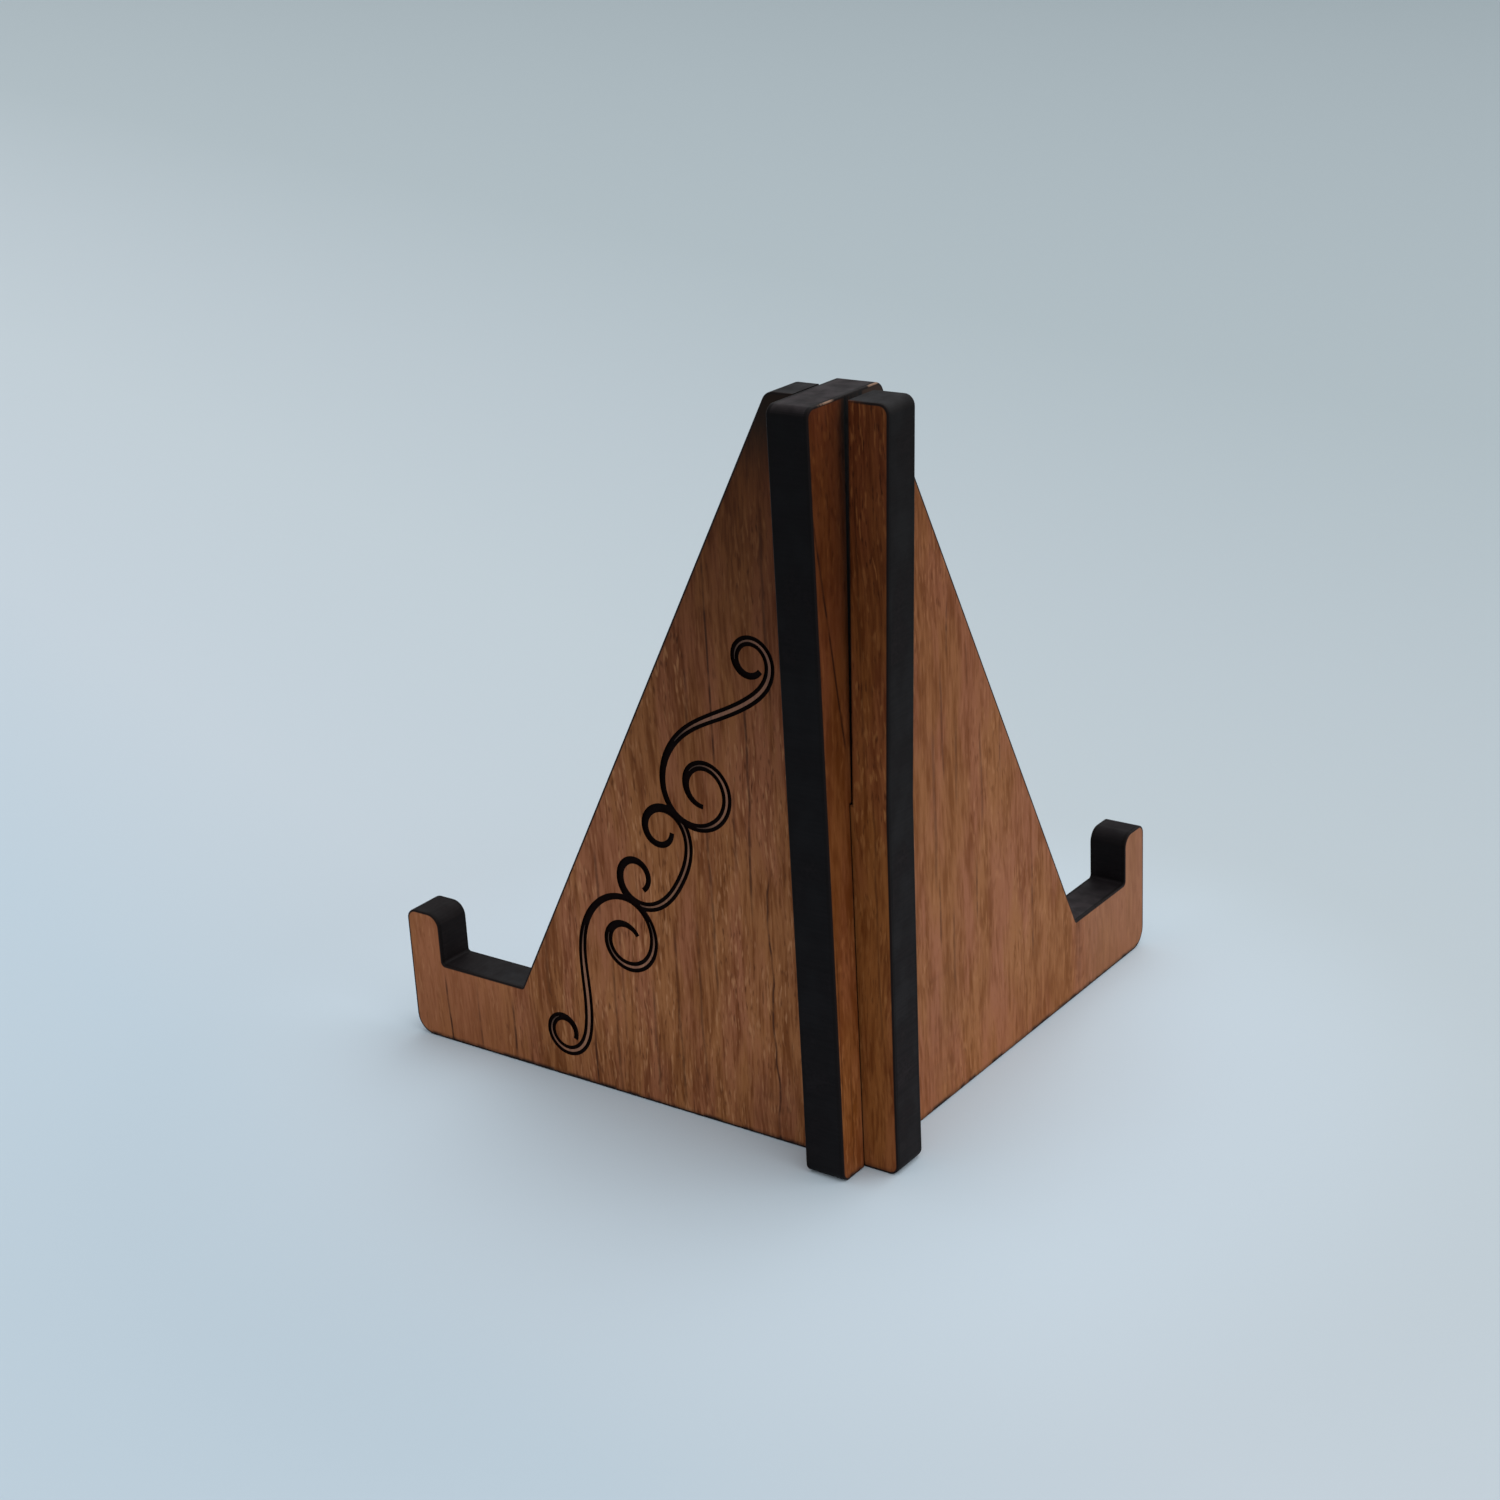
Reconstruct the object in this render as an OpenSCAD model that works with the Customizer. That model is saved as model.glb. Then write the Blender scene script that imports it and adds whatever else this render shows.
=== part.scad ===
// Phone stand made of two veneered board panels that cross at a right angle.
// The scroll panel is slotted from its top, and the plain panel from its foot.

/* [Board] */
// Thickness of the finished board
board_t = 6.4; // [5:0.1:9]
// Thickness of the veneer on each face
veneer_t = 0.6; // [0.4:0.05:1]

/* [Panel outline] */
// Height of both panels
panel_h = 112; // [90:1:140]
// Distance from the crossing axis back to the foot of the rear edge
rear_reach = 8.8; // [7.5:0.1:16]
// Distance that the rear edge leans back at its top
rear_lean = 0.8; // [0:0.1:2]
// Distance from the crossing axis forward to the end of the flat top
top_reach = 7.7; // [6:0.1:12]
// Distance from the crossing axis forward to the foot of the slanted rest
rest_reach = 59.5; // [50:0.5:75]
// Gap between the foot of the slanted rest and the lip
seat_gap = 16.5; // [8:0.5:25]
// Height of the seat above the table
seat_h = 13.2; // [9:0.2:25]
// Height of the lip above the seat
lip_h = 8.5; // [5:0.1:18]
// Thickness of the lip
lip_t = 6.6; // [5:0.1:12]

/* [Rounded corners] */
// Radius of the two rear corners
rear_r = 1.5; // [0.5:0.1:2.5]
// Radius where the flat top turns down the slanted rest
top_r = 1.8; // [0.5:0.1:2.5]
// Radius of the lip's crest on the phone's side
crest_r = 2.3; // [0.5:0.1:3]
// Radius of the lip's crest on the front
brow_r = 1.7; // [0.5:0.1:1.8]
// Radius of the front corner at the table
toe_r = 3.2; // [0.5:0.1:6]
// Radius in the corner between the seat and the lip
seat_r = 0.5; // [0.3:0.1:3]
// Radius in the corner between the slanted rest and the seat
rest_r = 0.5; // [0.3:0.1:3]

/* [Crossed slots] */
// Height above the table where the two slots meet
lap_h = 56; // [35:1:75]
// Clearance on each side of a panel in its slot
slot_clearance = 0.2; // [0.1:0.05:0.4]
// Clearance between the blind ends of the two slots
slot_end_gap = 0.2; // [0.1:0.05:0.6]
// Further distance that the scroll panel's rear prong leans back at its top
prong_lean = 1.8; // [0:0.1:4]

/* [Engraved scrolls] */
// Depth of the engraved lines
line_depth = 0.3; // [0.1:0.05:0.35]
// Angle between the ornament's axis and the slanted rest
scroll_turn = 3.3; // [0:0.1:6]
// Gap from the plain panel's face to the ornament
scroll_rear_gap = 5.2; // [4:0.1:12]
// Gap from the ornament forward to the foot of the slanted rest
scroll_front_gap = 4.6; // [2:0.1:12]
// Gap from the ornament up to the flat top
scroll_top_gap = 34.2; // [28:0.1:45]
// Gap from the ornament down to the table
scroll_foot_gap = 3.8; // [2:0.1:12]

/* [Hidden] */
$fn = 64;

core_t = board_t - 2 * veneer_t;
slot_w = board_t + 2 * slot_clearance;
lip_reach = rest_reach + seat_gap;
front_reach = lip_reach + lip_t;
crest_h = seat_h + lip_h;
// Reach of cuts and patches past the solid that they work on
past = 1;
// Rounding circles are this much larger, so that they cross the edges they blend into and don't graze them.
graze = 0.004;
// The panels run forward at 45 degrees to either side, and the middle of their footprint is the origin.
panel_turn = 45;
crossing_y = (front_reach - rear_reach - rear_lean - prong_lean) / 2 * sin(panel_turn);

// The ornament is drawn in millimetres along its own axis, x, and towards the slanted rest, y.
// It is a ribbon, engraved all over or, where a strip of wood stays bare inside it, as two outlines.
// Bends are a scroll's turn in degrees a millimetre. They, the ribbon's widths and the strip's widths
// are given at even spaces from the scroll's start to its end. A strip below zero is absent.
s_start = [-37.9, 3.6];
s_heading = 5.5;
s_length = 79.2;
s_bends = [25.5, 22.3, 16.1, 2.8, 0.1, -4.2, -6.3, -10.8, -9.4, -12.9, -18.1, -19];
s_widths = [0.85, 1.5, 1.65, 1.7, 1.65, 1.4, 1.1, 1, 1.5, 1.7, 1.5, 0.75];
s_strips = [-0.4, 0.2, 0.42, 0.5, 0.5, 0.2, -0.3, -0.2, 0.3, 0.4, 0.1, -0.4];
// The C-shaped scroll is drawn from its middle to one end, and mirrored.
c_half_length = 26.6;
c_bends = [2.1, 6.7, 13.4, 16.2, 23.4, 23.9];
c_widths = [1.5, 1.5, 1.55, 1.3, 1.15, 0.8];
c_strips = [0.3, 0.32, 0.2, -0.3, -0.4, -0.4];
// Length of one straight piece of a scroll's outline
scroll_step = 0.8;
// Narrowest end of a bare strip
strip_tip = 0.05;

// Value at a share, 0 to 1, of a length that the list is evenly spaced along
function spread(list, share) =
    let (at = share * (len(list) - 1), i = min(floor(at), len(list) - 2))
    list[i] + (list[i + 1] - list[i]) * (at - i);

// Points [x, y, ribbon width, strip width] along a scroll
function scroll(start, heading, length, bends, widths, strips) =
    let (count = ceil(length / scroll_step), step = length / count)
    [for (i = 0, at = start, facing = heading, turn = 0; i <= count;
          turn = step * spread(bends, (i + 0.5) / count),
          at = at + step * [cos(facing + turn / 2), sin(facing + turn / 2)],
          facing = facing + turn,
          i = i + 1)
        [at.x, at.y, spread(widths, i / count), spread(strips, i / count)]];

// The same scroll mirrored across the ornament's middle
function mirrored(points) = [for (p = points) [-p[0], p[1], p[2], p[3]]];
function backwards(list) = [for (i = [len(list) - 1:-1:1]) list[i]];

// The drawing turned to lie along the slanted rest
rest_angle = atan2(seat_h - panel_h, rest_reach - top_reach);
drawing_angle = rest_angle + scroll_turn;
function turned(points) =
    [for (p = points)
        [p[0] * cos(drawing_angle) - p[1] * sin(drawing_angle),
         p[0] * sin(drawing_angle) + p[1] * cos(drawing_angle), p[2], p[3]]];
s_scroll = scroll(s_start, s_heading, s_length, s_bends, s_widths, s_strips);
c_half = scroll([0, 0], 0, c_half_length, c_bends, c_widths, c_strips);
drawing = [turned(s_scroll), turned(mirrored(s_scroll)), turned(concat(backwards(mirrored(c_half)), c_half))];

// The drawing fills the space between its four gaps on the panel.
drawing_low = [for (i = [0, 1]) min([for (points = drawing, p = points) p[i] - p[2] / 2])];
drawing_high = [for (i = [0, 1]) max([for (points = drawing, p = points) p[i] + p[2] / 2])];
space_low = [board_t / 2 + scroll_rear_gap, scroll_foot_gap];
space_high = [rest_reach - scroll_front_gap, panel_h - scroll_top_gap];
stretch = [for (i = [0, 1]) (space_high[i] - space_low[i]) / (drawing_high[i] - drawing_low[i])];
function placed(points) =
    [for (p = points)
        [space_low[0] + (p[0] - drawing_low[0]) * stretch[0],
         space_low[1] + (p[1] - drawing_low[1]) * stretch[1], p[2], p[3]]];

// Outline of the ribbon, column 2, or of its bare strip, column 3, from one point to another
function band(points, column, first, last) =
    let (edge = function (i, side)
            let (along = towards(flat(points[max(i - 1, 0)]), flat(points[min(i + 1, len(points) - 1)])))
            flat(points[i]) + side * points[i][column] / 2 * [-along.y, along.x])
    concat([for (i = [first:last]) edge(i, 1)], [for (i = [last:-1:first]) edge(i, -1)]);
function flat(p) = [p[0], p[1]];

// Unit vector from one point of an outline to another
function towards(from, to) = (to - from) / norm(to - from);

// Kite between a corner and its rounding circle's centre, or the circle alone
module corner_patch(before, corner, after, r) {
    a = towards(corner, before);
    b = towards(corner, after);
    half = acos(a * b) / 2;
    middle = (a + b) / norm(a + b);
    centre = corner + middle * r / sin(half);
    difference() {
        polygon([corner - middle * past, corner + a * r / tan(half), centre, corner + b * r / tan(half)]);
        translate(centre) circle(r + graze);
    }
}

// Side view of a panel without its slot: x runs forward from the crossing axis, and y is up.
// Above the slots' meeting point its rear edge leans back further by the lean.
module panel_outline(lean) {
    rear_foot = [-rear_reach, 0];
    toe = [front_reach, 0];
    brow = [front_reach, crest_h];
    crest = [lip_reach, crest_h];
    seat_front = [lip_reach, seat_h];
    rest_foot = [rest_reach, seat_h];
    top_front = [top_reach, panel_h];
    top_rear = [-rear_reach - rear_lean - lean, panel_h];
    prong_foot = [-rear_reach - rear_lean * lap_h / panel_h, lap_h];
    difference() {
        union() {
            polygon([rear_foot, toe, brow, crest, seat_front, rest_foot, top_front, top_rear, prong_foot]);
            corner_patch(crest, seat_front, rest_foot, seat_r);
            corner_patch(seat_front, rest_foot, top_front, rest_r);
        }
        corner_patch(prong_foot, rear_foot, toe, rear_r);
        corner_patch(rear_foot, toe, brow, toe_r);
        corner_patch(toe, brow, crest, brow_r);
        corner_patch(brow, crest, seat_front, crest_r);
        corner_patch(rest_foot, top_front, top_rear, top_r);
        corner_patch(top_front, top_rear, prong_foot, rear_r);
    }
}

module scroll_panel_outline() {
    slot_floor = lap_h - slot_end_gap / 2;
    mouth = panel_h + past;
    mouth_lean = prong_lean * (mouth - lap_h) / (panel_h - lap_h);
    difference() {
        panel_outline(prong_lean);
        polygon([[-slot_w / 2, slot_floor], [slot_w / 2, slot_floor], [slot_w / 2, mouth],
                 [-slot_w / 2 - mouth_lean, mouth], [-slot_w / 2, lap_h]]);
    }
}

module plain_panel_outline() {
    difference() {
        panel_outline(0);
        translate([-slot_w / 2, -past]) square([slot_w, lap_h + slot_end_gap / 2 + past]);
    }
}

// Stands a drawing up as a layer of the scroll panel, its depth measured from the outer face
module scroll_panel_layer(depth, thickness) {
    translate([0, crossing_y, 0]) rotate([90, 0, -panel_turn])
        translate([0, 0, depth - board_t / 2]) linear_extrude(thickness) children();
}

module plain_panel_layer(depth, thickness) {
    mirror([1, 0, 0]) scroll_panel_layer(depth, thickness) children();
}

// Engraved lines of one scroll, round its bare strips
module scroll_lines(points) {
    bare = [for (p = points) p[3] > strip_tip];
    starts = [for (i = [1:len(points) - 1]) if (bare[i] && !bare[i - 1]) i];
    ends = [for (i = [1:len(points) - 1]) if (!bare[i] && bare[i - 1]) i - 1];
    difference() {
        polygon(band(points, 2, 0, len(points) - 1));
        for (i = [0:len(starts) - 1]) polygon(band(points, 3, starts[i], ends[i]));
    }
}

module scroll_panel_core() {
    color("saddlebrown") scroll_panel_layer(veneer_t, core_t) scroll_panel_outline();
}

module scroll_panel_outer_veneer() {
    color("peru") difference() {
        scroll_panel_layer(0, veneer_t) scroll_panel_outline();
        for (points = drawing) scroll_panel_layer(-past, past + line_depth) scroll_lines(placed(points));
    }
}

module scroll_panel_inner_veneer() {
    color("peru") scroll_panel_layer(board_t - veneer_t, veneer_t) scroll_panel_outline();
}

module plain_panel_core() {
    color("saddlebrown") plain_panel_layer(veneer_t, core_t) plain_panel_outline();
}

module plain_panel_outer_veneer() {
    color("peru") plain_panel_layer(0, veneer_t) plain_panel_outline();
}

module plain_panel_inner_veneer() {
    color("peru") plain_panel_layer(board_t - veneer_t, veneer_t) plain_panel_outline();
}

scroll_panel_core();
scroll_panel_outer_veneer();
scroll_panel_inner_veneer();
plain_panel_core();
plain_panel_outer_veneer();
plain_panel_inner_veneer();
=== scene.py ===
"""Phone stand: two veneered board panels with charred edges that cross at a right angle."""
import math

import bmesh
import bpy
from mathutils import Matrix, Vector


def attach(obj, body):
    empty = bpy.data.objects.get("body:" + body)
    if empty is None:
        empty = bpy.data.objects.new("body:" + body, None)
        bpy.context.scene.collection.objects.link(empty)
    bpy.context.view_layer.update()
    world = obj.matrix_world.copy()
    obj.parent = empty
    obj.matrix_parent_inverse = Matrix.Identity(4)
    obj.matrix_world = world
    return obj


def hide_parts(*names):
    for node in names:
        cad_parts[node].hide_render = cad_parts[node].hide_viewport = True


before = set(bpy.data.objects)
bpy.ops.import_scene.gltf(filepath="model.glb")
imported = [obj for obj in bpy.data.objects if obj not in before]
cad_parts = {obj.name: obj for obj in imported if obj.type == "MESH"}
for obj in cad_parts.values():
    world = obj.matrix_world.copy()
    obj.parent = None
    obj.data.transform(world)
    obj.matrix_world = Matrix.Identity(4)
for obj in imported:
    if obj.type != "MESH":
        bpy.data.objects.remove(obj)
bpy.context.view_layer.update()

# ---------------------------------------------------------------------------------------------
# Board cores.
# The middle layer of each panel is a 5.2 mm fibre board. The laser that cut it charred its edges black.
# Each core is drawn as seen from the side, forward from the crossing and up from the table, and stood up.
MM = 0.001
BOARD = 6.4
VENEER = 0.6
CORE = BOARD - 2 * VENEER
HALF_BOARD = BOARD / 2
PANEL_HEIGHT = 112
REAR = -8.8
REAR_LEAN = 0.8
TOP_FRONT = 7.7
REST_FOOT = 59.5
LIP_BACK = 76
FRONT = 82.6
SEAT_HEIGHT = 13.2
CREST_HEIGHT = 21.7
REAR_ROUND = 1.5
TOP_ROUND = 1.8
CREST_ROUND = 2.3
BROW_ROUND = 1.7
TOE_ROUND = 3.2
SEAT_ROUND = 0.5
REST_ROUND = 0.5
ROUND_STEPS = 8
LAP_HEIGHT = 56
PRONG_LEAN = 1.8
SLOT = BOARD + 0.4
SLOT_END_GAP = 0.2
# The panels run forward at 45 degrees to either side. Their crossing stands this far behind the middle.
CROSSING_Y = (FRONT + REAR - REAR_LEAN - PRONG_LEAN) / 2 * math.sin(math.radians(45))
SCROLL_TURN = math.radians(-45)
PLAIN_TURN = math.radians(-135)
# The scroll panel's outer face lies on the left of its run, and the plain panel's on the right.
SCROLL_OUTSIDE = 1
PLAIN_OUTSIDE = -1


def only(piece):
    """Makes the piece the only selected one."""
    bpy.ops.object.select_all(action="DESELECT")
    piece.select_set(True)
    bpy.context.view_layer.objects.active = piece


def block(name, low, high):
    """A box between two corners in millimetres, with its place in its mesh."""
    bpy.ops.object.select_all(action="DESELECT")
    middle = [(a + b) / 2 * MM for a, b in zip(low, high)]
    size = [(b - a) * MM for a, b in zip(low, high)]
    bpy.ops.mesh.primitive_cube_add(size=1, location=middle, scale=size)
    piece = bpy.context.object
    piece.name = name
    piece.data.name = name
    bpy.ops.object.transform_apply(location=True, rotation=True, scale=True)
    return piece


def edit(piece):
    """Opens the piece for editing with nothing selected."""
    only(piece)
    bpy.ops.object.mode_set(mode="EDIT")
    bpy.ops.mesh.select_all(action="DESELECT")


def done():
    """Closes the piece after editing."""
    bpy.ops.object.mode_set(mode="OBJECT")


def pick_faces(piece, wanted):
    """In edit mode, selects only the faces whose middle in millimetres and normal pass the test."""
    mesh = bmesh.from_edit_mesh(piece.data)
    for face in mesh.faces:
        face.select_set(False)
    for face in mesh.faces:
        if wanted(face.calc_center_median() / MM, face.normal):
            face.select_set(True)
    bmesh.update_edit_mesh(piece.data)


def pick_through_edge(piece, forward, up):
    """In edit mode, selects only the edge that runs through the board at a place on its outline."""
    mesh = bmesh.from_edit_mesh(piece.data)
    place = Vector((forward, up))
    for edge in mesh.edges:
        edge.select_set(False)
    for edge in mesh.edges:
        if all((Vector((v.co.x, v.co.z)) / MM - place).length < 0.01 for v in edge.verts):
            edge.select_set(True)
    bmesh.update_edit_mesh(piece.data)


def cut_across(piece, place, direction):
    """In edit mode, cuts new edges all round the piece where a plane crosses it."""
    bpy.ops.mesh.select_all(action="SELECT")
    point = [value * MM for value in place]
    bpy.ops.mesh.bisect(plane_co=point, plane_no=direction)


def pull_faces(piece, wanted, distance):
    """In edit mode, extrudes the faces that pass the test straight up."""
    pick_faces(piece, wanted)
    bpy.ops.mesh.extrude_region_move(TRANSFORM_OT_translate={"value": (0, 0, distance * MM)})


def round_corner(piece, before, corner, after, radius):
    """In edit mode, rounds the outline's corner between two of its neighbours."""
    here = Vector(corner)
    half = (Vector(before) - here).angle(Vector(after) - here) / 2
    pick_through_edge(piece, *corner)
    bpy.ops.mesh.bevel(offset=radius * MM / math.tan(half), segments=ROUND_STEPS, clamp_overlap=False)


def carve(piece, cutter):
    """Takes the cutter's shape out of the piece and throws the cutter away."""
    only(piece)
    cut = piece.modifiers.new("cut", "BOOLEAN")
    cut.operation = "DIFFERENCE"
    cut.solver = "MANIFOLD"
    cut.object = cutter
    bpy.ops.object.modifier_apply(modifier=cut.name)
    bpy.data.objects.remove(cutter, do_unlink=True)


def panel_outline(name, near, far, lean):
    """A panel's side view between two depths from the board's middle, with its corners rounded."""
    rear_foot = (REAR, 0)
    toe = (FRONT, 0)
    brow = (FRONT, CREST_HEIGHT)
    crest = (LIP_BACK, CREST_HEIGHT)
    seat_front = (LIP_BACK, SEAT_HEIGHT)
    rest_foot = (REST_FOOT, SEAT_HEIGHT)
    top_front = (TOP_FRONT, PANEL_HEIGHT)
    top_rear = (REAR - REAR_LEAN - lean, PANEL_HEIGHT)
    prong_foot = (REAR - REAR_LEAN * LAP_HEIGHT / PANEL_HEIGHT, LAP_HEIGHT)
    piece = block(name, (REAR, near, 0), (FRONT, far, SEAT_HEIGHT))
    edit(piece)
    cut_across(piece, (REST_FOOT, 0, 0), (1, 0, 0))
    cut_across(piece, (LIP_BACK, 0, 0), (1, 0, 0))
    pull_faces(piece, lambda at, out: out.z > 0.9 and at.x < REST_FOOT, PANEL_HEIGHT - SEAT_HEIGHT)
    pull_faces(piece, lambda at, out: out.z > 0.9 and at.x > LIP_BACK, CREST_HEIGHT - SEAT_HEIGHT)
    pick_through_edge(piece, REST_FOOT, PANEL_HEIGHT)
    bpy.ops.transform.translate(value=((TOP_FRONT - REST_FOOT) * MM, 0, 0))
    if lean:
        cut_across(piece, (0, 0, LAP_HEIGHT), (0, 0, 1))
        pick_through_edge(piece, REAR, LAP_HEIGHT)
        bpy.ops.transform.translate(value=((prong_foot[0] - REAR) * MM, 0, 0))
    pick_through_edge(piece, REAR, PANEL_HEIGHT)
    bpy.ops.transform.translate(value=((top_rear[0] - REAR) * MM, 0, 0))
    round_corner(piece, crest, seat_front, rest_foot, SEAT_ROUND)
    round_corner(piece, seat_front, rest_foot, top_front, REST_ROUND)
    round_corner(piece, prong_foot, rear_foot, toe, REAR_ROUND)
    round_corner(piece, rear_foot, toe, brow, TOE_ROUND)
    round_corner(piece, toe, brow, crest, BROW_ROUND)
    round_corner(piece, brow, crest, seat_front, CREST_ROUND)
    round_corner(piece, rest_foot, top_front, top_rear, TOP_ROUND)
    round_corner(piece, top_front, top_rear, prong_foot, REAR_ROUND)
    done()
    return piece


def scroll_panel_layer(name, near, far):
    """A layer of the scroll panel, slotted from its top, where its rear prong and the slot lean back."""
    piece = panel_outline(name, near, far, PRONG_LEAN)
    floor = LAP_HEIGHT - SLOT_END_GAP / 2
    mouth = PANEL_HEIGHT + 1
    cutter = block("slot", (-SLOT / 2, near - 1, floor), (SLOT / 2, far + 1, mouth))
    edit(cutter)
    cut_across(cutter, (0, 0, LAP_HEIGHT), (0, 0, 1))
    pick_through_edge(cutter, -SLOT / 2, mouth)
    mouth_lean = PRONG_LEAN * (mouth - LAP_HEIGHT) / (PANEL_HEIGHT - LAP_HEIGHT)
    bpy.ops.transform.translate(value=(-mouth_lean * MM, 0, 0))
    done()
    carve(piece, cutter)
    return piece


def plain_panel_layer(name, near, far):
    """A layer of the plain panel, slotted from its foot."""
    piece = panel_outline(name, near, far, 0)
    top = LAP_HEIGHT + SLOT_END_GAP / 2
    carve(piece, block("slot", (-SLOT / 2, near - 1, -1), (SLOT / 2, far + 1, top)))
    return piece


def merge_flat(piece):
    """Merges neighbouring faces that lie in one plane."""
    edit(piece)
    bpy.ops.mesh.select_all(action="SELECT")
    bpy.ops.mesh.remove_doubles(threshold=0.001 * MM)
    bpy.ops.mesh.dissolve_limited(angle_limit=math.radians(0.05))
    bpy.ops.mesh.select_all(action="DESELECT")
    done()


def give_materials(piece, *materials):
    """Replaces the piece's material slots. The first one covers every face."""
    piece.data.materials.clear()
    for material in materials:
        piece.data.materials.append(material)


SMOOTH_ANGLE = 32


def stand_up(piece, turn, body, node):
    """Turns a finished layer to its panel's run, moves it to the crossing and gives it to its body."""
    only(piece)
    piece.rotation_euler = (0, 0, turn)
    piece.location = (0, CROSSING_Y * MM, 0)
    bpy.ops.object.transform_apply(location=True, rotation=True, scale=True)
    bpy.ops.object.shade_smooth_by_angle(angle=math.radians(SMOOTH_ANGLE))
    flatten = piece.modifiers.new("flatten", "WEIGHTED_NORMAL")
    flatten.keep_sharp = True
    flatten.weight = 100
    bpy.ops.object.modifier_apply(modifier=flatten.name)
    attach(piece, body)
    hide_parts(node)


def link(tree, *pairs):
    """Joins sockets of a node tree in pairs."""
    for out_socket, in_socket in pairs:
        tree.links.new(out_socket, in_socket)


def add_node(tree, kind, inputs=None, **settings):
    """A node with its settings and the values of its inputs."""
    node = tree.nodes.new(kind)
    for name, value in settings.items():
        setattr(node, name, value)
    for name, value in (inputs or {}).items():
        node.inputs[name].default_value = value
    return node


def new_group(name, inputs, outputs):
    """A shader node group whose inputs are (name, type, value) and whose outputs are (name, type)."""
    tree = bpy.data.node_groups.new(name, "ShaderNodeTree")
    for socket_name, kind, value in inputs:
        socket = tree.interface.new_socket(socket_name, in_out="INPUT", socket_type=kind)
        socket.default_value = value
    for socket_name, kind in outputs:
        tree.interface.new_socket(socket_name, in_out="OUTPUT", socket_type=kind)
    return tree, tree.nodes.new("NodeGroupInput"), tree.nodes.new("NodeGroupOutput")


def math_node(tree, operation, first, second=None, third=None, clamp=False):
    """A math node's result, from sockets or numbers."""
    node = tree.nodes.new("ShaderNodeMath")
    node.operation = operation
    node.use_clamp = clamp
    for socket, value in zip(node.inputs, (first, second, third)):
        if value is None:
            continue
        if isinstance(value, (int, float)):
            socket.default_value = value
        else:
            tree.links.new(value, socket)
    return node.outputs[0]


def soft_step(tree, value, low, high, start=0.0, end=1.0):
    """A smooth step of a socket's value between two limits."""
    node = add_node(tree, "ShaderNodeMapRange", interpolation_type="SMOOTHSTEP")
    for name, number in (("From Min", low), ("From Max", high), ("To Min", start), ("To Max", end)):
        node.inputs[name].default_value = number
    tree.links.new(value, node.inputs["Value"])
    return node.outputs["Result"]


def blend_colours(tree, share, first, second, mode="MIX"):
    """Two colours, sockets or values, blended by a share."""
    node = add_node(tree, "ShaderNodeMix", data_type="RGBA", blend_type=mode)
    for socket, value in zip((node.inputs[0], node.inputs[6], node.inputs[7]), (share, first, second)):
        if isinstance(value, bpy.types.NodeSocket):
            tree.links.new(value, socket)
        else:
            socket.default_value = value
    return node.outputs[2]


def srgb(red, green, blue):
    """A colour from 0 to 255 steps as linear values."""
    def linear(step):
        share = step / 255
        return share / 12.92 if share <= 0.04045 else ((share + 0.055) / 1.055) ** 2.4
    return (linear(red), linear(green), linear(blue), 1)


def panel_place(tree, turn):
    """Coordinates in millimetres on a panel: forward from the crossing, through the board, and up."""
    coordinates = tree.nodes.new("ShaderNodeTexCoord")
    mapping = add_node(tree, "ShaderNodeMapping", vector_type="TEXTURE")
    mapping.inputs["Location"].default_value = (0, CROSSING_Y * MM, 0)
    mapping.inputs["Rotation"].default_value = (0, 0, turn)
    mapping.inputs["Scale"].default_value = (MM, MM, MM)
    tree.links.new(coordinates.outputs["Object"], mapping.inputs["Vector"])
    return mapping.outputs["Vector"]


def stretched_noise(tree, place, spans, detail=2.0, offset=0.0):
    """Noise whose spots have these sizes in millimetres forward, through and up."""
    stretch = add_node(tree, "ShaderNodeVectorMath", operation="DIVIDE")
    stretch.inputs[1].default_value = spans
    shift = add_node(tree, "ShaderNodeVectorMath", operation="ADD")
    shift.inputs[1].default_value = (offset, offset * 0.37, offset * 0.71)
    noise = add_node(tree, "ShaderNodeTexNoise", {"Scale": 1.0, "Detail": detail, "Roughness": 0.5})
    link(tree,
         (place, stretch.inputs[0]),
         (stretch.outputs[0], shift.inputs[0]),
         (shift.outputs[0], noise.inputs["Vector"]))
    return noise.outputs["Fac"]


# The char is painted darker high up as shade.
# The rubbed part of the seat fades out between these places forward.
HIGH_CHAR_SHADE = srgb(190, 184, 184)
RUBBED_SEAT = (62, 74)


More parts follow.
